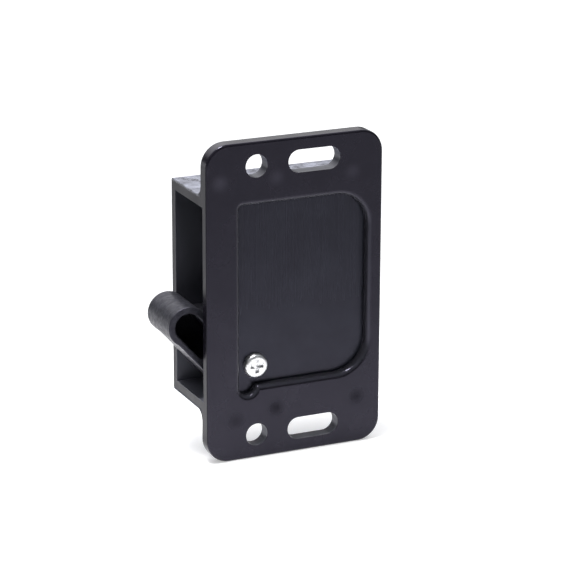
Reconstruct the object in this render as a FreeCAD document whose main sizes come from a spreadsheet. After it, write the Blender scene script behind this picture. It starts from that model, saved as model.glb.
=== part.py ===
import FreeCAD, Part
import math
import os
import re
import PartDesign
import Sketcher

# Push-to-close finger catch.  Millimetres.  X to the right along the mounting face, Y into the
# housing, Z up.  The origin is midway between the two round fixing holes, on the mounting face.

os.makedirs("parts", exist_ok=True)
doc = FreeCAD.newDocument("finger_catch")
V = FreeCAD.Vector

# ---------------------------------------------------------------- sizes
SIZES = [
    # mounting plate
    ("plate_height", 76.2),
    ("plate_width", 44.2),
    ("plate_thick", 3.28),
    ("plate_corner", 5.5),
    ("plate_edge", 0.6),
    ("hole_inset", 12.4),
    ("hole_end_inset", 5.7),
    ("hole_radius", 2.72),
    ("slot_shift", 14.4),
    ("slot_length", 13.05),
    ("slot_radius", 2.71),
    # housing box
    ("tab_height", 12.2),
    ("box_depth", 20.75),
    ("box_inset", 1.1),
    ("box_corner", 2.0),
    ("root_fillet", 2.5),
    ("box_edge", 0.6),
    ("wall_thick", 2.5),
    ("back_wall", 2.15),
    # recess and cover
    ("recess_right_gap", 3.4),
    ("recess_top_gap", 2.7),
    ("recess_bottom_gap", 5.45),
    ("recess_depth", 2.45),
    ("recess_corner", 8.0),
    ("recess_small_corner", 0.8),
    ("rim_round", 1.3),
    ("cover_thick", 1.95),
    ("cover_gap", 0.06),
    ("cover_tongue", 1.55),
    ("tongue_gap", 0.1),
    ("tongue_low", 6.0),
    ("tongue_high", 3.0),
    ("ear_radius", 2.1),
    ("neck_round", 0.6),
    ("ledge_width", 1.5),
    ("ledge_set", 0.5),
    ("ledge_lap", 1.0),
    # screw
    ("screw_across", 2.5),
    ("screw_up", 4.4),
    ("screw_head_radius", 2.9),
    ("screw_head_thick", 1.45),
    ("screw_radius", 1.4),
    ("screw_boss_radius", 3.1),
    ("cross_width", 0.9),
    ("cross_length", 3.3),
    ("cross_depth", 0.9),
    # finger and its pivot
    ("pivot_shift", 2.0),
    ("floor_gap", 0.048),
    ("pivot_radius", 1.5),
    ("block_gap", 0.2),
    ("finger_face_gap", 0.4),
    ("finger_side_gap", 0.4),
    ("step_radius", 8.5),
    ("finger_angle", 131.0),
    ("finger_reach", 19.8),
    ("tip_radius", 4.8),
    ("edge_step", 0.3),
    ("upper_step", 0.5),
    ("web_front", 7.2),
    ("hub_radius", 2.8),
    ("throat_height", 15.7),
    ("throat_radius", 3.6),
    ("throat_mouth", 8.5),
    ("arm_shift", 0.6),
    ("arm_radius", 2.0),
    ("arm_top", 24.5),
    ("ring_wall", 1.65),
    ("trough_start", 12.4),
    ("trough_wall", 2.0),
    ("finger_edge", 0.35),
    ("lug_angle", 40.0),
    ("lug_reach", 10.0),
    ("lug_radius", 2.8),
    # spring strut
    ("link_radius", 1.25),
    ("anchor_radius", 1.25),
    ("anchor_wall_gap", 3.806),
    ("anchor_up", 9.347),
    ("strut_back_gap", 1.0),
    ("fork_gap", 4.4),
    ("fork_cheek", 2.0),
    ("fork_clear", 4.3),
    ("eye_radius", 2.8),
    ("eye_width", 5.6),
    ("cup_start", 2.5),
    ("cup_end", 10.5),
    ("cup_wall", 0.5),
    ("coil_gap", 0.25),
    ("cup_floor", 4.0),
    ("coil_radius", 2.6),
    ("wire_radius", 0.45),
    ("coil_turns", 5.0),
    ("rod_gap", 0.65),
    ("rod_start", 5.2),
    ("collar_lip", 0.05),
    ("collar_back", 5.76),
    ("collar_thick", 1.0),
    ("tongue_past", 0.04),
    ("tongue_side", 1.15),
    ("fork_side_gap", 0.2),
    ("notch_gap", 0.2),
    ("notch_back", 2.36),
    ("boss_radius", 2.9),
    ("boss_gap", 0.4),
    ("running_gap", 0.05),
    ("press_gap", 0.02),
    ("pin_end_gap", 0.75),
]

# Positions that follow from the sizes.
DERIVED = [
    ("hole_spacing", "plate_height - 2 * hole_end_inset"),
    ("box_height", "plate_height - 2 * tab_height"),
    ("left_x", "-hole_inset"),
    ("right_x", "plate_width - hole_inset"),
    ("box_right", "right_x - box_inset"),
    ("cavity_right", "box_right - wall_thick"),
    ("cavity_half", "box_height / 2 - wall_thick"),
    ("cavity_back", "box_depth - back_wall"),
    ("front_wall", "recess_depth - tongue_gap"),
    ("cover_back", "recess_depth + cover_thick"),
    ("pivot_x", "-pivot_shift"),
    ("edge_offset", "tip_radius - edge_step"),
    ("upper_share", "(tip_radius - upper_step) / edge_offset"),
    ("heel_x", "-edge_offset * sin(finger_angle)"),
    ("heel_z", "edge_offset * cos(finger_angle)"),
    ("pivot_z", "floor_gap - heel_z - cavity_half"),
    ("recess_left", "pivot_x - ear_radius"),
    ("recess_right", "right_x - recess_right_gap"),
    ("recess_top", "box_height / 2 - recess_top_gap"),
    ("recess_bottom", "box_height / 2 - recess_bottom_gap"),
    ("screw_x", "pivot_x + screw_across"),
    ("screw_z", "pivot_z + screw_up"),
    ("pin_back", "box_depth - pin_end_gap"),
    ("finger_front", "cover_back + finger_face_gap"),
    ("finger_back", "cavity_back - finger_side_gap"),
    ("trough_radius", "tip_radius - ring_wall"),
    ("trough_floor", "finger_back - trough_wall"),
    ("tip_x", "finger_reach * cos(finger_angle)"),
    ("tip_z", "finger_reach * sin(finger_angle)"),
    ("arm_left", "arm_shift - arm_radius"),
    ("arm_right", "arm_shift + arm_radius"),
    ("link_x", "lug_reach * cos(lug_angle)"),
    ("link_z", "lug_reach * sin(lug_angle)"),
    ("anchor_dx", "cavity_right - anchor_wall_gap - pivot_x"),
    ("anchor_x", "pivot_x + anchor_dx"),
    ("anchor_z", "pivot_z + anchor_up"),
    ("cup_bore", "coil_radius + wire_radius + coil_gap"),
    ("cup_radius", "cup_bore + cup_wall"),
    ("rod_radius", "coil_radius - wire_radius - rod_gap"),
    ("collar_radius", "coil_radius + wire_radius + collar_lip"),
    ("strut_angle", "atan2(link_z - anchor_up; link_x - anchor_dx) / 1 deg"),
    ("strut_length", "sqrt((anchor_dx - link_x) ^ 2 + (anchor_up - link_z) ^ 2)"),
    ("strut_depth", "cavity_back - cup_radius - strut_back_gap"),
    ("collar_start", "strut_length - collar_back"),
    ("tongue_end", "strut_length + tongue_past"),
    ("tongue_thick", "fork_gap - 2 * fork_side_gap"),
    ("notch_radius", "link_radius + notch_gap"),
    ("notch_floor", "strut_length - notch_back"),
    ("tongue_half", "notch_radius + tongue_side"),
    ("fork_front", "strut_depth - fork_gap / 2"),
    ("fork_back", "strut_depth + fork_gap / 2"),
    ("finger_step", "fork_front - fork_cheek"),
    ("block_back", "finger_step - block_gap"),
    ("boss_back", "strut_depth - cup_radius - boss_gap"),
    ("ledge_back", "(cover_back + block_back) / 2 - ledge_set"),
]

sheet = doc.addObject("Spreadsheet::Sheet", "Sheet")
for row, (name, size) in enumerate(SIZES, 1):
    sheet.set("A%d" % row, name)
    sheet.set("B%d" % row, str(size))
    sheet.setAlias("B%d" % row, name)
for row, (name, formula) in enumerate(DERIVED, len(SIZES) + 1):
    sheet.set("A%d" % row, name)
    sheet.set("B%d" % row, "=" + formula)
    sheet.setAlias("B%d" % row, name)
doc.recompute()

NAMES = [name for name, _ in SIZES + DERIVED]
NAME_PATTERN = re.compile(r"\b(%s)\b" % "|".join(NAMES))
trial = doc.addObject("Spreadsheet::Sheet", "Trial")


def full(formula):
    """The formula with every size name pointed at the sheet."""
    return NAME_PATTERN.sub(r"Sheet.\1", str(formula))


def number(formula):
    """What the formula comes to now, used only as a sketch's starting guess."""
    trial.set("A1", "=" + full(formula))
    trial.recompute()
    return float(trial.get("A1"))


# ---------------------------------------------------------------- sketch shapes
def place_point(sketch, geometry, end, x, z):
    for kind, formula in (("DistanceX", x), ("DistanceY", z)):
        index = sketch.addConstraint(Sketcher.Constraint(kind, -1, 1, geometry, end, number(formula)))
        sketch.setExpression("Constraints[%d]" % index, full(formula))


def bind_radius(sketch, geometry, radius):
    index = sketch.addConstraint(Sketcher.Constraint("Radius", geometry, number(radius)))
    sketch.setExpression("Constraints[%d]" % index, full(radius))


def circle(sketch, x, z, radius):
    centre = V(number(x), number(z), 0)
    geometry = sketch.addGeometry(Part.Circle(centre, V(0, 0, 1), number(radius)), False)
    place_point(sketch, geometry, 3, x, z)
    bind_radius(sketch, geometry, radius)


def bar(sketch, ax, az, bx, bz, radius):
    """A round-ended bar between two centres."""
    a = V(number(ax), number(az), 0)
    b = V(number(bx), number(bz), 0)
    size = number(radius)
    turn = math.atan2(b.y - a.y, b.x - a.x)
    quarter = math.pi / 2
    side = V(math.cos(turn + quarter), math.sin(turn + quarter), 0) * size
    ring_a = Part.Circle(a, V(0, 0, 1), size)
    ring_b = Part.Circle(b, V(0, 0, 1), size)
    first = sketch.addGeometry(Part.ArcOfCircle(ring_a, turn + quarter, turn + 3 * quarter), False)
    sketch.addGeometry(Part.ArcOfCircle(ring_b, turn - quarter, turn + quarter), False)
    sketch.addGeometry(Part.LineSegment(b + side, a + side), False)
    sketch.addGeometry(Part.LineSegment(a - side, b - side), False)
    second, upper, lower = first + 1, first + 2, first + 3
    place_point(sketch, first, 3, ax, az)
    place_point(sketch, second, 3, bx, bz)
    bind_radius(sketch, first, radius)
    sketch.addConstraint(Sketcher.Constraint("Equal", first, second))
    sketch.addConstraint(Sketcher.Constraint("Tangent", second, 2, upper, 1))
    sketch.addConstraint(Sketcher.Constraint("Tangent", upper, 2, first, 1))
    sketch.addConstraint(Sketcher.Constraint("Tangent", first, 2, lower, 1))
    sketch.addConstraint(Sketcher.Constraint("Tangent", lower, 2, second, 1))


def contour(sketch, *points):
    """A closed outline.  A point is (x, z), or (x, z, radius, side) where an arc runs to the
    next point with its centre on that side of the way there, 1 for left and -1 for right."""
    spots = [V(number(p[0]), number(p[1]), 0) for p in points]
    first = len(sketch.Geometry)
    ends = []
    for i, point in enumerate(points):
        a, b = spots[i], spots[(i + 1) % len(points)]
        if len(point) == 2:
            sketch.addGeometry(Part.LineSegment(a, b), False)
            ends.append((1, 2))
            continue
        size, side = number(point[2]), point[3]
        chord = b - a
        across = V(-chord.y, chord.x, 0).normalize() * side
        centre = (a + b) * 0.5 + across * math.sqrt(size ** 2 - chord.Length ** 2 / 4)
        start, stop = (a, b) if side > 0 else (b, a)
        from_angle = math.atan2(start.y - centre.y, start.x - centre.x)
        to_angle = math.atan2(stop.y - centre.y, stop.x - centre.x)
        if to_angle < from_angle:
            to_angle += 2 * math.pi
        ring = Part.Circle(centre, V(0, 0, 1), size)
        sketch.addGeometry(Part.ArcOfCircle(ring, from_angle, to_angle), False)
        ends.append((1, 2) if side > 0 else (2, 1))
    for i, point in enumerate(points):
        after = (i + 1) % len(points)
        sketch.addConstraint(
            Sketcher.Constraint("Coincident", first + i, ends[i][1], first + after, ends[after][0])
        )
    for i, point in enumerate(points):
        place_point(sketch, first + i, ends[i][0], point[0], point[1])
        if len(point) > 2:
            bind_radius(sketch, first + i, point[2])


def box(sketch, x0, z0, x1, z1):
    contour(sketch, (x0, z0), (x1, z0), (x1, z1), (x0, z1))


# ---------------------------------------------------------------- features
# A front sketch is extruded along +Y, a side sketch along +X.
PLANES = {"front": ("XZ_Plane", -1), "side": ("YZ_Plane", 1)}


def new_body(label):
    body = doc.addObject("PartDesign::Body", label)
    body.Label = label
    return body


def origin_item(body, role):
    return [item for item in body.Origin.OriginFeatures if item.Role == role][0]


def draw(body, name, view, start, shapes):
    role, sign = PLANES[view]
    sketch = body.newObject("Sketcher::SketchObject", name + "_sketch")
    sketch.AttachmentSupport = [(origin_item(body, role), "")]
    sketch.MapMode = "FlatFace"
    sketch.setExpression("AttachmentOffset.Base.z", full("%d * (%s)" % (sign, start)))
    for shape in shapes:
        shape[0](sketch, *shape[1:])
    doc.recompute()
    return sketch


def add(body, name, start, stop, *shapes, view="front"):
    """Material from one depth to another."""
    sketch = draw(body, name, view, start, shapes)
    feature = body.newObject("PartDesign::Pad", name)
    feature.Profile = sketch
    feature.Reversed = PLANES[view][1] < 0
    feature.setExpression("Length", full("(%s) - (%s)" % (stop, start)))
    doc.recompute()
    return feature


def cut(body, name, start, stop, *shapes, view="front"):
    """Material taken away from one depth to another."""
    sketch = draw(body, name, view, start, shapes)
    feature = body.newObject("PartDesign::Pocket", name)
    feature.Profile = sketch
    feature.Reversed = PLANES[view][1] > 0
    feature.setExpression("Length", full("(%s) - (%s)" % (stop, start)))
    doc.recompute()
    return feature


def round_edges(body, name, radius, wanted):
    """A fillet on every edge whose bounding box is wanted."""
    base = body.Tip
    edges = [
        "Edge%d" % i for i, edge in enumerate(base.Shape.Edges, 1) if wanted(edge.BoundBox)
    ]
    feature = body.newObject("PartDesign::Fillet", name)
    feature.Base = (base, edges)
    feature.setExpression("Radius", full(radius))
    doc.recompute()
    return feature


def near(a, b):
    return abs(a - b) < 0.01


# ---------------------------------------------------------------- housing
housing = new_body("housing")
add(
    housing, "plate", "0", "plate_thick",
    (contour,
     ("left_x + plate_corner", "-plate_height / 2"),
     ("right_x - plate_corner", "-plate_height / 2", "plate_corner", 1),
     ("right_x", "plate_corner - plate_height / 2"),
     ("right_x", "plate_height / 2 - plate_corner", "plate_corner", 1),
     ("right_x - plate_corner", "plate_height / 2"),
     ("left_x + plate_corner", "plate_height / 2", "plate_corner", 1),
     ("left_x", "plate_height / 2 - plate_corner"),
     ("left_x", "plate_corner - plate_height / 2", "plate_corner", 1)),
)
add(
    housing, "case", "plate_thick / 2", "box_depth",
    (contour,
     ("left_x", "-box_height / 2"),
     ("box_right - box_corner", "-box_height / 2", "box_corner", 1),
     ("box_right", "box_corner - box_height / 2"),
     ("box_right", "box_height / 2 - box_corner", "box_corner", 1),
     ("box_right - box_corner", "box_height / 2"),
     ("left_x", "box_height / 2")),
)
plate_back = number("plate_thick")
case_half = number("box_height / 2")
round_edges(
    housing, "case_root", "root_fillet",
    lambda b: near(b.YMin, plate_back) and near(b.YMax, plate_back)
    and near(b.ZMin, b.ZMax) and near(abs(b.ZMin), case_half),
)
round_edges(
    housing, "plate_edges", "plate_edge",
    lambda b: near(b.YMin, 0) and near(b.YMax, 0),
)
case_back = number("box_depth")
round_edges(
    housing, "case_edges", "box_edge",
    lambda b: near(b.YMin, case_back) and near(b.YMax, case_back) and b.XMax > b.XMin + 0.1,
)
cut(
    housing, "cavity", "front_wall", "cavity_back",
    (box, "left_x - 2", "-cavity_half", "cavity_right", "cavity_half"),
)
cut(
    housing, "recess", "-1", "cover_back",
    (contour,
     ("recess_left", "-recess_bottom"),
     ("recess_right - recess_corner", "-recess_bottom", "recess_corner", 1),
     ("recess_right", "recess_corner - recess_bottom"),
     ("recess_right", "recess_top - recess_corner", "recess_corner", 1),
     ("recess_right - recess_corner", "recess_top"),
     ("recess_left + recess_small_corner", "recess_top", "recess_small_corner", 1),
     ("recess_left", "recess_top - recess_small_corner")),
)
cut(housing, "ear_recess", "-1", "cover_back", (circle, "pivot_x", "pivot_z", "ear_radius"))
neck = [number(n) for n in ("pivot_x", "pivot_x + ear_radius", "ledge_lap - recess_bottom")]
round_edges(
    housing, "ear_neck", "neck_round",
    lambda b: near(b.XMin, b.XMax) and near(b.ZMin, b.ZMax) and near(b.YMin, 0)
    and neck[0] < b.XMin < neck[1] and b.ZMin < neck[2],
)
recess_box = [number(n) for n in ("recess_left", "recess_right", "recess_top")]
round_edges(
    housing, "recess_rim", "rim_round",
    lambda b: near(b.YMin, 0) and near(b.YMax, 0) and b.XMin > recess_box[0] - 0.1
    and b.XMax < recess_box[1] + 0.1 and b.ZMax < recess_box[2] + 0.1
    and b.ZMin > -recess_box[2] - 0.1,
)
cut(
    housing, "fixing_holes", "-1", "plate_thick + 1",
    (circle, "0", "hole_spacing / 2", "hole_radius"),
    (circle, "0", "-hole_spacing / 2", "hole_radius"),
)
cut(
    housing, "adjusting_slots", "-1", "plate_thick + 1",
    (bar, "slot_shift - slot_length / 2 + slot_radius", "hole_spacing / 2",
     "slot_shift + slot_length / 2 - slot_radius", "hole_spacing / 2", "slot_radius"),
    (bar, "slot_shift - slot_length / 2 + slot_radius", "-hole_spacing / 2",
     "slot_shift + slot_length / 2 - slot_radius", "-hole_spacing / 2", "slot_radius"),
)
add(
    housing, "ledge_top", "cover_back", "ledge_back",
    (box, "slot_shift", "cavity_half - ledge_width", "cavity_right + wall_thick / 2",
     "cavity_half + wall_thick / 2"),
)
add(
    housing, "ledge_right", "cover_back", "ledge_back",
    (box, "cavity_right - ledge_width", "0", "cavity_right + wall_thick / 2", "cavity_half"),
)
add(
    housing, "ledge_bottom", "cover_back", "ledge_back",
    (box, "pivot_x", "-cavity_half - wall_thick / 2", "cavity_right", "ledge_lap - recess_bottom"),
)
add(
    housing, "bearing_block", "cover_back", "block_back",
    (bar, "pivot_x", "pivot_z", "screw_x", "screw_z", "screw_boss_radius"),
)
add(
    housing, "bearing_foot", "cover_back", "block_back",
    (box, "pivot_x - ear_radius", "-cavity_half - wall_thick / 2",
     "screw_x + screw_boss_radius", "pivot_z"),
)
add(
    housing, "bearing_web", "cover_back", "block_back",
    (box, "screw_x - screw_boss_radius / 2", "pivot_z - 1", "screw_x + screw_boss_radius",
     "screw_z"),
)
cut(
    housing, "pivot_bores", "cover_back - 1", "pin_back + press_gap",
    (circle, "pivot_x", "pivot_z", "pivot_radius + press_gap"),
)
cut(
    housing, "anchor_bore", "cavity_back - 1", "pin_back + press_gap",
    (circle, "anchor_x", "anchor_z", "anchor_radius + press_gap"),
)
cut(
    housing, "screw_bore", "cover_back - 1", "block_back - 0.4",
    (circle, "screw_x", "screw_z", "screw_radius + running_gap"),
)

# ---------------------------------------------------------------- cover plate and its screw
cover = new_body("cover_plate")
add(
    cover, "panel", "recess_depth", "cover_back - press_gap",
    (contour,
     ("recess_left - cover_tongue", "tongue_low - recess_bottom"),
     ("recess_left + cover_gap", "tongue_low - recess_bottom"),
     ("recess_left + cover_gap", "cover_gap - recess_bottom"),
     ("recess_right - recess_corner", "cover_gap - recess_bottom", "recess_corner - cover_gap", 1),
     ("recess_right - cover_gap", "recess_corner - recess_bottom"),
     ("recess_right - cover_gap", "recess_top - recess_corner", "recess_corner - cover_gap", 1),
     ("recess_right - recess_corner", "recess_top - cover_gap"),
     ("recess_left + recess_small_corner", "recess_top - cover_gap",
      "recess_small_corner - cover_gap", 1),
     ("recess_left + cover_gap", "recess_top - recess_small_corner"),
     ("recess_left + cover_gap", "recess_top - tongue_high"),
     ("recess_left - cover_tongue", "recess_top - tongue_high")),
)
add(
    cover, "ear", "recess_depth", "cover_back - press_gap",
    (circle, "pivot_x", "pivot_z", "ear_radius - cover_gap"),
)
add(
    cover, "anchor_boss", "recess_depth + 0.5", "boss_back",
    (circle, "anchor_x", "anchor_z", "boss_radius"),
)
cut(
    cover, "anchor_socket", "cover_back", "boss_back + 1",
    (circle, "anchor_x", "anchor_z", "anchor_radius + press_gap"),
)
cut(
    cover, "screw_hole", "0", "cover_back + 1",
    (circle, "screw_x", "screw_z", "screw_radius + 2 * running_gap"),
)

screw = new_body("cover_screw")
add(
    screw, "head", "recess_depth - press_gap - screw_head_thick", "recess_depth - press_gap",
    (circle, "screw_x", "screw_z", "screw_head_radius"),
)
head_front = number("recess_depth - press_gap - screw_head_thick")
round_edges(
    screw, "head_round", "screw_head_thick * 0.6",
    lambda b: near(b.YMin, head_front) and near(b.YMax, head_front),
)
add(
    screw, "shank", "recess_depth - press_gap - 0.3", "block_back - 0.6",
    (circle, "screw_x", "screw_z", "screw_radius"),
)
cut(
    screw, "cross_across", "-1", "recess_depth - press_gap - screw_head_thick + cross_depth",
    (box, "screw_x - cross_length / 2", "screw_z - cross_width / 2",
     "screw_x + cross_length / 2", "screw_z + cross_width / 2"),
)
cut(
    screw, "cross_upright", "-1", "recess_depth - press_gap - screw_head_thick + cross_depth",
    (box, "screw_x - cross_width / 2", "screw_z - cross_length / 2",
     "screw_x + cross_width / 2", "screw_z + cross_length / 2"),
)

# ---------------------------------------------------------------- finger, about its own pivot
finger = new_body("finger")
finger.setExpression(
    "Placement", full("placement(vector(pivot_x; 0; pivot_z); rotation(vector(0; 1; 0); 0))")
)
add(
    finger, "jaw", "finger_front", "finger_back",
    (contour,
     ("tip_x + heel_x", "tip_z + heel_z"),
     ("heel_x", "heel_z"),
     ("0", "-hub_radius"),
     ("-heel_x * upper_share", "-heel_z * upper_share"),
     ("tip_x - heel_x * upper_share", "tip_z - heel_z * upper_share")),
)
add(finger, "tip", "finger_front", "finger_back", (circle, "tip_x", "tip_z", "tip_radius"))
cut(
    finger, "trough", "finger_front - 1", "trough_floor",
    (bar, "trough_start * cos(finger_angle)", "trough_start * sin(finger_angle)",
     "tip_x", "tip_z", "trough_radius"),
)
finger_start = number("finger_front")
round_edges(
    finger, "rim_edges", "finger_edge",
    lambda b: near(b.YMin, finger_start) and near(b.YMax, finger_start),
)
add(
    finger, "web", "web_front", "finger_back",
    (contour,
     ("tip_x", "tip_z"),
     ("0", "0"),
     ("arm_right", "0"),
     ("arm_right", "throat_height + throat_radius"),
     ("arm_left", "throat_height + throat_radius", "throat_radius", -1),
     ("arm_left - throat_radius", "throat_height"),
     ("-throat_mouth", "throat_height")),
)
add(
    finger, "arm", "web_front", "finger_back",
    (bar, "arm_shift", "hub_radius", "arm_shift", "arm_top", "arm_radius"),
)
cut(
    finger, "trough_in_web", "finger_front - 1", "trough_floor",
    (bar, "trough_start * cos(finger_angle)", "trough_start * sin(finger_angle)",
     "tip_x", "tip_z", "trough_radius"),
)
cut(finger, "front_step", "finger_front - 1", "finger_step", (circle, "0", "0", "step_radius"))
add(
    finger, "lug", "finger_step", "finger_back",
    (bar, "0", "0", "link_x", "link_z", "lug_radius"),
)
cut(finger, "fork", "fork_front", "fork_back", (circle, "link_x", "link_z", "fork_clear"))
cut(
    finger, "pivot_bore", "finger_step - 1", "finger_back + 1",
    (circle, "0", "0", "pivot_radius + running_gap"),
)
cut(
    finger, "link_bore", "finger_step - 1", "finger_back + 1",
    (circle, "link_x", "link_z", "link_radius + press_gap"),
)

# ---------------------------------------------------------------- pins
pivot_pin = new_body("finger_pivot_pin")
add(
    pivot_pin, "pin", "cover_back + 0.1", "pin_back",
    (circle, "pivot_x", "pivot_z", "pivot_radius"),
)
anchor_pin = new_body("anchor_pin")
add(
    anchor_pin, "pin_a", "cover_back + 0.1", "pin_back",
    (circle, "anchor_x", "anchor_z", "anchor_radius"),
)
link_pin = new_body("link_pin")
add(
    link_pin, "pin_b", "finger_step + 0.2", "finger_back - 0.4",
    (circle, "pivot_x + link_x", "pivot_z + link_z", "link_radius"),
)

# ---------------------------------------------------------------- spring strut
# Built along its own X axis from the anchor pin towards the link pin, then laid in place.
STRUT_PLACE = full(
    "placement(vector(anchor_x; strut_depth; anchor_z); rotation(vector(0; 1; 0); -strut_angle))"
)
cup = new_body("spring_cup")
cup.setExpression("Placement", STRUT_PLACE)
add(cup, "sleeve", "cup_start", "cup_end", (circle, "0", "0", "cup_radius"), view="side")
add(cup, "eye", "-eye_width / 2", "eye_width / 2", (circle, "0", "0", "eye_radius"))
cut(cup, "spring_well", "cup_floor", "cup_end + 1", (circle, "0", "0", "cup_bore"), view="side")
cut(
    cup, "eye_bore", "-eye_width", "eye_width",
    (circle, "0", "0", "anchor_radius + running_gap"),
)

rod = new_body("spring_rod")
rod.setExpression("Placement", STRUT_PLACE)
add(rod, "shaft", "rod_start", "collar_start + 0.5", (circle, "0", "0", "rod_radius"), view="side")
add(
    rod, "collar", "collar_start", "collar_start + collar_thick",
    (circle, "0", "0", "collar_radius"), view="side",
)
add(
    rod, "tongue", "-tongue_thick / 2", "tongue_thick / 2",
    (box, "collar_start + 0.5", "-tongue_half", "tongue_end", "tongue_half"),
)
cut(
    rod, "notch", "-tongue_thick", "tongue_thick",
    (bar, "notch_floor + notch_radius", "0", "tongue_end + 3", "0", "notch_radius"),
)

spring = new_body("compression_spring")
spring.setExpression("Placement", STRUT_PLACE)
wire = spring.newObject("Sketcher::SketchObject", "wire_sketch")
wire.AttachmentSupport = [(origin_item(spring, "XY_Plane"), "")]
wire.MapMode = "FlatFace"
circle(wire, "cup_floor + wire_radius + running_gap", "coil_radius", "wire_radius")
coil = spring.newObject("PartDesign::AdditiveHelix", "coil")
coil.Profile = wire
coil.ReferenceAxis = (wire, ["H_Axis"])
coil.Mode = "height-turns-angle"
coil.setExpression("Height", full("collar_start - cup_floor - 2 * wire_radius - 2 * running_gap"))
coil.setExpression("Turns", full("coil_turns"))

# ---------------------------------------------------------------- checks and files
doc.removeObject(trial.Name)
doc.recompute()
for item in doc.Objects:
    for word in item.State:
        if word in ("Invalid", "Error"):
            raise RuntimeError("%s is %s" % (item.Label, word))

BODIES = [housing, cover, screw, finger, pivot_pin, anchor_pin, link_pin, cup, rod, spring]
for body in BODIES:
    shape = body.Shape
    if shape.isNull() or not shape.isValid() or len(shape.Solids) != 1:
        raise RuntimeError("%s has no single sound solid" % body.Label)
    shape.exportStep("parts/%s.step" % body.Label)
    bounds = shape.BoundBox
    print(
        "%-20s volume %9.2f  x %7.2f %7.2f  y %6.2f %6.2f  z %7.2f %7.2f"
        % (body.Label, shape.Volume, bounds.XMin, bounds.XMax, bounds.YMin, bounds.YMax,
           bounds.ZMin, bounds.ZMax)
    )
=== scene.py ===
import math

import bmesh
import bpy
from mathutils import Matrix, Vector


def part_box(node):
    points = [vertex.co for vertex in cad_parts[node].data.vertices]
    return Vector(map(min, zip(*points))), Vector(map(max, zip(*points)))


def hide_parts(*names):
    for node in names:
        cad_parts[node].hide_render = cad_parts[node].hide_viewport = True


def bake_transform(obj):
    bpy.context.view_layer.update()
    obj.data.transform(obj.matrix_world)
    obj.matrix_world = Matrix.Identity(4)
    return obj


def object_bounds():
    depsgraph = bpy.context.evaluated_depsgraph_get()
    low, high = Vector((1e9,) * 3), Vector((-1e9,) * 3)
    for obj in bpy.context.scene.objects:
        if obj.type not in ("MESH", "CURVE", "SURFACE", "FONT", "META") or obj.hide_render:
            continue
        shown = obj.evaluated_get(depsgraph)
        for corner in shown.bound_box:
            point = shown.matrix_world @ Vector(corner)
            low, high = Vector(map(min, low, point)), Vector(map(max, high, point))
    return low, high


# Push-to-close finger catch in black moulded plastic, standing on its plate's lower edge.
# Metres, in the CAD frame: X across the plate, Y into the housing, Z up.

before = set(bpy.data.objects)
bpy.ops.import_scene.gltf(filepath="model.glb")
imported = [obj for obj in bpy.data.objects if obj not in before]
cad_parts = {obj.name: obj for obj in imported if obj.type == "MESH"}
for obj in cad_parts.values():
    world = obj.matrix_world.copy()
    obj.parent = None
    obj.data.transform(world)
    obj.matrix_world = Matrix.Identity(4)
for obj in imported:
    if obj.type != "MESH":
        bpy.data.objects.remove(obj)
cad_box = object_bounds()

MM = 0.001
# Black plastic's specular level and the faint violet of what it reflects.
SHINE = 0.37
COOL = (0.80, 0.76, 1.0, 1.0)


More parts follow.
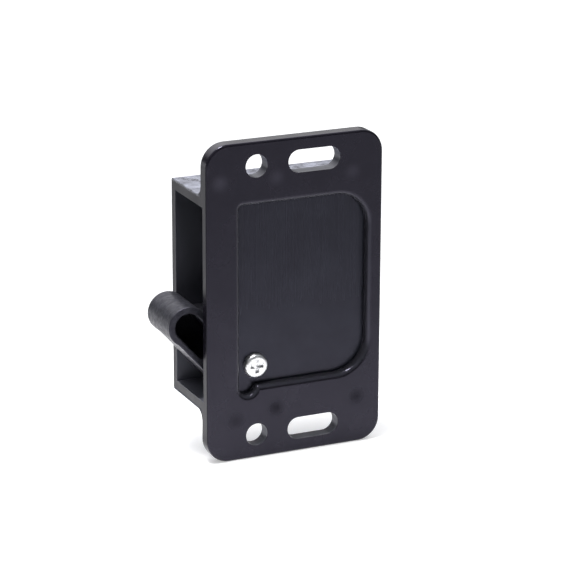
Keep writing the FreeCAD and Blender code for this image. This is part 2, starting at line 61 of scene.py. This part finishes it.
# ---------------------------------------------------------------- node helpers
class Surface:
    """A principled material whose detail is built up from procedural nodes."""

    def __init__(self, name, roughness=0.4, metallic=0.0):
        self.material = bpy.data.materials.new(name)
        self.material.use_nodes = True
        self.tree = self.material.node_tree
        self.shader = self.tree.nodes["Principled BSDF"]
        self.shader.inputs["Roughness"].default_value = roughness
        self.shader.inputs["Metallic"].default_value = metallic
        if not metallic:
            self.shader.inputs["Specular IOR Level"].default_value = SHINE
            self.shader.inputs["Specular Tint"].default_value = COOL
        self.place = self.tree.nodes.new("ShaderNodeTexCoord").outputs["Object"]
        self.last_normal = None

    def link(self, source, target):
        self.tree.links.new(source, target)

    def stretched(self, scale):
        node = self.tree.nodes.new("ShaderNodeMapping")
        node.inputs["Scale"].default_value = scale
        self.link(self.place, node.inputs["Vector"])
        return node.outputs["Vector"]

    def noise(self, size, detail=2.0, roughness=0.5, stretch=(1, 1, 1), distortion=0.0):
        """Noise whose blotches are about size metres across."""
        node = self.tree.nodes.new("ShaderNodeTexNoise")
        node.inputs["Scale"].default_value = 1.0
        node.inputs["Detail"].default_value = detail
        node.inputs["Roughness"].default_value = roughness
        node.inputs["Distortion"].default_value = distortion
        self.link(self.stretched([s / size for s in stretch]), node.inputs["Vector"])
        return node.outputs["Fac"]

    def remap(self, value, low, high, to_low, to_high, smooth=False):
        node = self.tree.nodes.new("ShaderNodeMapRange")
        node.interpolation_type = "SMOOTHSTEP" if smooth else "LINEAR"
        for name, number in zip(("From Min", "From Max", "To Min", "To Max"),
                                (low, high, to_low, to_high)):
            node.inputs[name].default_value = number
        self.link(value, node.inputs["Value"])
        return node.outputs["Result"]

    def rising(self, value, start, end):
        """Nothing below start mm and all of it above end mm."""
        return self.remap(value, start * MM, end * MM, 0, 1)

    def falling(self, value, start, end):
        """All of it below start mm and nothing above end mm."""
        return self.remap(value, start * MM, end * MM, 1, 0)

    def all_of(self, first, *others):
        """Where every one of the masks holds."""
        for other in others:
            first = self.math("MULTIPLY", first, other)
        return first

    def math(self, kind, a, b):
        node = self.tree.nodes.new("ShaderNodeMath")
        node.operation = kind
        for socket, value in zip(node.inputs, (a, b)):
            if isinstance(value, (int, float)):
                socket.default_value = value
            else:
                self.link(value, socket)
        return node.outputs[0]

    def axis(self, letter):
        node = self.tree.nodes.new("ShaderNodeSeparateXYZ")
        self.link(self.place, node.inputs[0])
        return node.outputs[letter]

    def distance_to(self, point):
        node = self.tree.nodes.new("ShaderNodeVectorMath")
        node.operation = "DISTANCE"
        self.link(self.place, node.inputs[0])
        node.inputs[1].default_value = point
        return node.outputs["Value"]

    def mix(self, factor, a, b):
        node = self.tree.nodes.new("ShaderNodeMix")
        node.data_type = "RGBA"
        self.link(factor, node.inputs["Factor"])
        for socket, value in ((node.inputs[6], a), (node.inputs[7], b)):
            if isinstance(value, tuple):
                socket.default_value = value
            else:
                self.link(value, socket)
        return node.outputs[2]

    def ramp(self, value, *stops):
        node = self.tree.nodes.new("ShaderNodeValToRGB")
        ramp = node.color_ramp
        while len(ramp.elements) < len(stops):
            ramp.elements.new(0.5)
        for element, (position, colour) in zip(ramp.elements, stops):
            element.position = position
            element.color = (*colour, 1.0)
        self.link(value, node.inputs["Fac"])
        return node.outputs["Color"]

    def colour(self, source):
        self.link(source, self.shader.inputs["Base Color"])

    def rough(self, source):
        self.link(source, self.shader.inputs["Roughness"])

    def bump(self, height, depth, strength=1.0):
        """A relief of depth metres laid over any relief before it."""
        node = self.tree.nodes.new("ShaderNodeBump")
        node.inputs["Strength"].default_value = strength
        node.inputs["Distance"].default_value = depth
        self.link(height, node.inputs["Height"])
        if self.last_normal:
            self.link(self.last_normal, node.inputs["Normal"])
        self.last_normal = node.outputs["Normal"]
        self.link(self.last_normal, self.shader.inputs["Normal"])


# ---------------------------------------------------------------- materials
# Places on the housing in mm, for the masks.
BOX_HALF = 25.9
CAVITY_HALF = 23.45
CAVITY_RIGHT = 28.3
CAVITY_BACK = 18.7
RECESS_BACK = 2.3
PLATE_LEFT = -12.4

# Faint round marks where thick sections behind the plate have shrunk: mm across and up, and
# how much more or less they shine than the face around them.
SINK_MARKS = ((-9.0, 29.1, 0.3), (24.1, 28.3, 0.2), (5.0, 29.0, 0.25),
              (4.9, -26.5, -0.22), (25.6, -26.6, -0.2), (-5.3, -28.2, -0.15))


def strut_plastic(name):
    """The duller black of the two hidden strut mouldings."""
    s = Surface(name, 0.45)
    cloud = s.noise(9 * MM, detail=3)
    s.colour(s.ramp(cloud, (0.3, (0.00612, 0.005616, 0.00756)),
                    (0.7, (0.011475, 0.01053, 0.014175))))
    smear = s.noise(4 * MM, detail=4, stretch=(1, 1, 0.5), distortion=0.4)
    s.rough(s.remap(smear, 0.3, 0.7, 0.4, 0.51))
    s.bump(s.noise(0.35 * MM, detail=2), 0.006 * MM)
    s.bump(s.noise(7 * MM, detail=1), 0.12 * MM)
    return s.material


def housing_plastic():
    """Glossy plate; painted highlights on the recess rim and on the walls of the holes and slots,
    painted light inside the cavity, and pale scuffed patches on the box's top and underside that
    are partly painted sheen.
    """
    s = Surface("housing_black", 0.24)
    across, deep, up = s.axis("X"), s.axis("Y"), s.axis("Z")
    height = s.math("ABSOLUTE", up, 0.0)

    scuffed = s.all_of(s.rising(height, BOX_HALF - 0.5, BOX_HALF - 0.1),
                       s.falling(height, BOX_HALF + 0.6, BOX_HALF + 1.4),
                       s.rising(deep, 3.4, 5.2))
    # Pale patches on the box's top and underside: partly scuff marks, partly painted sheen for
    # the light the rough top catches.
    patches = s.remap(s.noise(3.2 * MM, detail=6, roughness=0.75), 0.38, 0.62, 0.2, 1)
    pale_scuff_and_sheen = s.all_of(scuffed, patches)
    inside = s.all_of(s.falling(height, CAVITY_HALF, CAVITY_HALF + 0.05),
                      s.falling(across, CAVITY_RIGHT, CAVITY_RIGHT + 0.1),
                      s.rising(deep, RECESS_BACK, RECESS_BACK + 0.1),
                      s.falling(deep, CAVITY_BACK, CAVITY_BACK + 0.1))
    # The walls of the holes and slots, lightened as a painted highlight of the light falling on
    # them, and made rougher.
    bore_painted_light = s.all_of(s.rising(height, 28.5, 29), s.falling(height, 36, 36.5),
                    s.rising(deep, 0.1, 0.3), s.falling(deep, 3.0, 3.2),
                    s.rising(across, -5, -4))
    # The rounded rim of the recess, lightened a little as a painted highlight.
    rim_painted_highlight = s.all_of(s.falling(height, 24.4, 24.8), s.rising(across, -8, -7),
                   s.falling(across, 29.6, 30), s.rising(deep, 0.03, 0.25),
                   s.falling(deep, 2.2, 2.35))

    cloud = s.noise(9 * MM, detail=3)
    shade = s.ramp(cloud, (0.3, (0.0055, 0.005, 0.0075)), (0.7, (0.0105, 0.0095, 0.0135)))
    # Painted light inside the cavity: lighter towards the bottom, darker towards the top.
    painted_cavity_light = s.ramp(s.remap(up, -22 * MM, 20 * MM, 0, 1),
                  (0, (0.1, 0.102, 0.122)), (1, (0.042, 0.043, 0.052)))
    # Lay the painted light of the cavity, bore walls and rim, and the pale patches, over the base
    # tone.
    for mask, tint in ((inside, painted_cavity_light), (bore_painted_light, (0.09, 0.093, 0.108, 1)),
                       (rim_painted_highlight, (0.026, 0.026, 0.032, 1)), (pale_scuff_and_sheen, (0.26, 0.27, 0.32, 1))):
        shade = s.mix(mask, shade, tint)
    s.colour(shade)

    smear = s.noise(4 * MM, detail=4, stretch=(1, 1, 0.5), distortion=0.4)
    dull = s.math("ADD", s.math("MULTIPLY", pale_scuff_and_sheen, 0.3), s.math("MULTIPLY", bore_painted_light, 0.15))
    s.rough(s.math("ADD", s.remap(smear, 0.3, 0.7, 0.15, 0.25), dull))
    s.bump(s.noise(0.35 * MM, detail=2), 0.005 * MM)
    s.bump(s.noise(7 * MM, detail=1), 0.12 * MM)
    s.bump(s.math("MULTIPLY", s.noise(0.9 * MM, detail=4), scuffed), 0.25 * MM)
    left_face = s.falling(across, PLATE_LEFT + 0.02, PLATE_LEFT + 0.2)
    shine = s.remap(left_face, 0, 1, SHINE, 0.08)
    for mark_x, mark_z, gain in SINK_MARKS:
        reach = s.distance_to((mark_x * MM, 0, mark_z * MM))
        s.bump(s.remap(reach, 0, 2.6 * MM, 0, 1, smooth=True), 0.06 * MM)
        shine = s.math("ADD", shine, s.remap(reach, 0, 2.8 * MM, gain, 0, smooth=True))
    s.link(shine, s.shader.inputs["Specular IOR Level"])
    return s.material


def cover_plastic():
    """Drag lines run up the panel and fade out below its middle."""
    s = Surface("cover_black", 0.3)
    cloud = s.noise(8 * MM, detail=4)
    s.colour(s.ramp(cloud, (0.3, (0.008, 0.009, 0.012)), (0.75, (0.014, 0.016, 0.021))))
    drag = s.noise(1.2 * MM, detail=2, roughness=0.5, stretch=(1, 1, 0.012))
    height = s.axis("Z")
    upper = s.remap(height, -6 * MM, 10 * MM, 0.04, 1.0, smooth=True)
    lines = s.all_of(s.remap(drag, 0.44, 0.66, 0, 1), upper, s.falling(height, 22.3, 22.8))
    s.rough(s.remap(lines, 0, 1, 0.26, 0.42))
    s.bump(lines, 0.034 * MM)
    s.bump(s.noise(0.3 * MM, detail=2), 0.006 * MM)
    s.bump(s.noise(9 * MM, detail=1), 0.1 * MM)
    return s.material


def finger_plastic():
    """Greyer and coarser than the housing, from wear."""
    s = Surface("finger_black", 0.4)
    cloud = s.noise(1.6 * MM, detail=5, roughness=0.65)
    s.colour(s.ramp(cloud, (0.3, (0.009, 0.009, 0.011)), (0.75, (0.03, 0.031, 0.037))))
    s.rough(s.remap(s.noise(1.1 * MM, detail=4), 0.3, 0.7, 0.3, 0.6))
    s.bump(s.noise(0.9 * MM, detail=4, roughness=0.6), 0.09 * MM)
    return s.material


def bright_metal(name, shade, roughness, grain=(1, 1, 1)):
    s = Surface(name, roughness, metallic=1.0)
    cloud = s.noise(1.2 * MM, detail=4)
    low = tuple(0.82 * c for c in shade)
    s.colour(s.ramp(cloud, (0.3, low), (0.7, shade)))
    s.rough(s.remap(s.noise(0.5 * MM, detail=3, stretch=grain), 0.3, 0.7,
                    roughness - 0.06, roughness + 0.08))
    s.bump(s.noise(0.25 * MM, detail=3, stretch=grain), 0.006 * MM)
    return s.material


def dress(node, material):
    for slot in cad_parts[node].material_slots:
        slot.material = material


PIN_SHADE = (0.62, 0.62, 0.62)
PIN_GRAIN = (1, 0.1, 1)
MATERIALS = {
    "housing": housing_plastic(),
    "cover_plate": cover_plastic(),
    "cover_screw": bright_metal("zinc_plate", (0.95, 0.95, 0.96), 0.36),
    "finger": finger_plastic(),
    "finger_pivot_pin": bright_metal("ground_pin", PIN_SHADE, 0.25, PIN_GRAIN),
    "anchor_pin": bright_metal("ground_anchor", PIN_SHADE, 0.25, PIN_GRAIN),
    "link_pin": bright_metal("ground_link", PIN_SHADE, 0.25, PIN_GRAIN),
    "spring_cup": strut_plastic("cup_black"),
    "spring_rod": strut_plastic("rod_black"),
    "compression_spring": bright_metal("spring_wire", (0.55, 0.55, 0.56), 0.3),
}
for node, material in MATERIALS.items():
    dress(node, material)


# ---------------------------------------------------------------- spring
# Laid along the strut from the anchor pin towards the link pin, in mm.  Each end turn is closed
# up.
ANCHOR = Vector((24.394, 13.8, -11.053))
LINK = Vector((5.66, 13.8, -13.972))
WIRE_RADIUS = 0.45
COIL_RADIUS = 2.6
SPRING_START = 4.05
SPRING_END = 13.14
DEAD_PITCH = 0.94
ACTIVE_TURNS = 4
STEPS_PER_TURN = 28
WIRE_SIDES = 12


def wire_height(turn):
    """How far along the strut the wire's centre is after so many turns."""
    low, high = SPRING_START + WIRE_RADIUS, SPRING_END - WIRE_RADIUS
    pitch = (high - low - 2 * DEAD_PITCH) / ACTIVE_TURNS
    if turn < 1:
        return low + turn * DEAD_PITCH
    if turn > ACTIVE_TURNS + 1:
        return high - (ACTIVE_TURNS + 2 - turn) * DEAD_PITCH
    return low + DEAD_PITCH + (turn - 1) * pitch


def make_spring():
    along = (LINK - ANCHOR).normalized()
    side = Vector((0, 1, 0))
    up = along.cross(side)
    shape = bmesh.new()
    rings = []
    steps = (ACTIVE_TURNS + 2) * STEPS_PER_TURN
    for step in range(steps + 1):
        turn = step / STEPS_PER_TURN
        angle = 2 * math.pi * turn
        outward = side * math.cos(angle) + up * math.sin(angle)
        centre = ANCHOR + along * wire_height(turn) + outward * COIL_RADIUS
        ring = []
        for corner in range(WIRE_SIDES):
            around = 2 * math.pi * corner / WIRE_SIDES
            offset = outward * math.cos(around) + along * math.sin(around)
            ring.append(shape.verts.new((centre + offset * WIRE_RADIUS) * MM))
        rings.append(ring)
    for before, after in zip(rings, rings[1:]):
        for a in range(WIRE_SIDES):
            b = (a + 1) % WIRE_SIDES
            shape.faces.new((before[a], before[b], after[b], after[a])).smooth = True
    shape.faces.new(rings[0])
    shape.faces.new(rings[-1])
    bmesh.ops.recalc_face_normals(shape, faces=shape.faces)
    mesh = bpy.data.meshes.new("spring_coil")
    shape.to_mesh(mesh)
    shape.free()
    mesh.materials.append(MATERIALS["compression_spring"])
    coil = bpy.data.objects.new("spring_coil", mesh)
    bpy.context.scene.collection.objects.link(coil)
    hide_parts("compression_spring")
    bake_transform(coil)


make_spring()


# ---------------------------------------------------------------- floor, light and camera
def make_floor():
    bpy.ops.mesh.primitive_plane_add(size=8.0, location=(0, 0, cad_box[0][2]))
    floor = bpy.context.object
    floor.name = "floor"
    s = Surface("floor_white", 0.9)
    s.colour(s.ramp(s.noise(0.4, detail=1), (0.3, (0.76, 0.76, 0.76)), (0.7, (0.78, 0.78, 0.78))))
    s.shader.inputs["Emission Color"].default_value = (1, 1, 1, 1)
    s.shader.inputs["Emission Strength"].default_value = 0.42
    floor.data.materials.append(s.material)


def area_light(name, size, power, place, target, spread):
    """A soft box, its spread in degrees narrowed as by a grid."""
    data = bpy.data.lights.new(name, "AREA")
    data.shape = "RECTANGLE"
    data.size, data.size_y = size
    data.energy = power
    data.spread = math.radians(spread)
    light = bpy.data.objects.new(name, data)
    bpy.context.scene.collection.objects.link(light)
    light.location = place
    light.rotation_euler = (Vector(target) - Vector(place)).to_track_quat("-Z", "Y").to_euler()


def make_world():
    """Dim around the horizon and brighter overhead."""
    world = bpy.data.worlds.new("studio")
    world.use_nodes = True
    sky = world.node_tree.nodes["Background"]
    sky.inputs["Color"].default_value = (0.86, 0.88, 0.93, 1)
    nodes, links = world.node_tree.nodes, world.node_tree.links
    split = nodes.new("ShaderNodeSeparateXYZ")
    links.new(nodes.new("ShaderNodeTexCoord").outputs["Generated"], split.inputs[0])
    rise = nodes.new("ShaderNodeMapRange")
    rise.inputs["From Min"].default_value = 0.25
    rise.inputs["From Max"].default_value = 0.85
    rise.inputs["To Min"].default_value = 0.06
    rise.inputs["To Max"].default_value = 0.55
    links.new(split.outputs["Z"], rise.inputs["Value"])
    links.new(rise.outputs["Result"], sky.inputs["Strength"])
    bpy.context.scene.world = world


# The camera looks at the middle of the plate.  Angles in degrees.
AZIMUTH = -24.695
ELEVATION = 18.043
DISTANCE = 0.60797
LENS = 163.16
ROLL = 0.24
SHIFT = (-0.0082, 0.0115)


def make_camera():
    data = bpy.data.cameras.new("camera")
    data.lens = LENS
    data.sensor_width = 36.0
    data.shift_x, data.shift_y = SHIFT
    data.clip_start = 0.01
    data.clip_end = 20
    camera = bpy.data.objects.new("camera", data)
    bpy.context.scene.collection.objects.link(camera)
    low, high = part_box("housing")
    plate_centre = Vector(((low[0] + high[0]) / 2, 0, 0))
    turn, lift = math.radians(AZIMUTH), math.radians(ELEVATION)
    back = Vector((math.sin(turn) * math.cos(lift), -math.cos(turn) * math.cos(lift),
                   math.sin(lift)))
    camera.location = plate_centre + back * DISTANCE
    aim = (-back).to_track_quat("-Z", "Y").to_matrix()
    camera.rotation_euler = (aim @ Matrix.Rotation(math.radians(ROLL), 3, "Z")).to_euler()
    bpy.context.scene.camera = camera


make_floor()
make_world()
# A small gridded light over the plate, and a wide one behind that keeps the floor white.
area_light("overhead", (0.17, 0.15), 0.135, (-0.08, 0.0, 0.42), (-0.02, 0.0, -0.038), 29)
area_light("backdrop", (1.2, 0.7), 2.5, (0.16, 0.42, 0.34), (0.12, 0.22, -0.04), 120)
make_camera()
bpy.context.scene.view_settings.view_transform = "Standard"
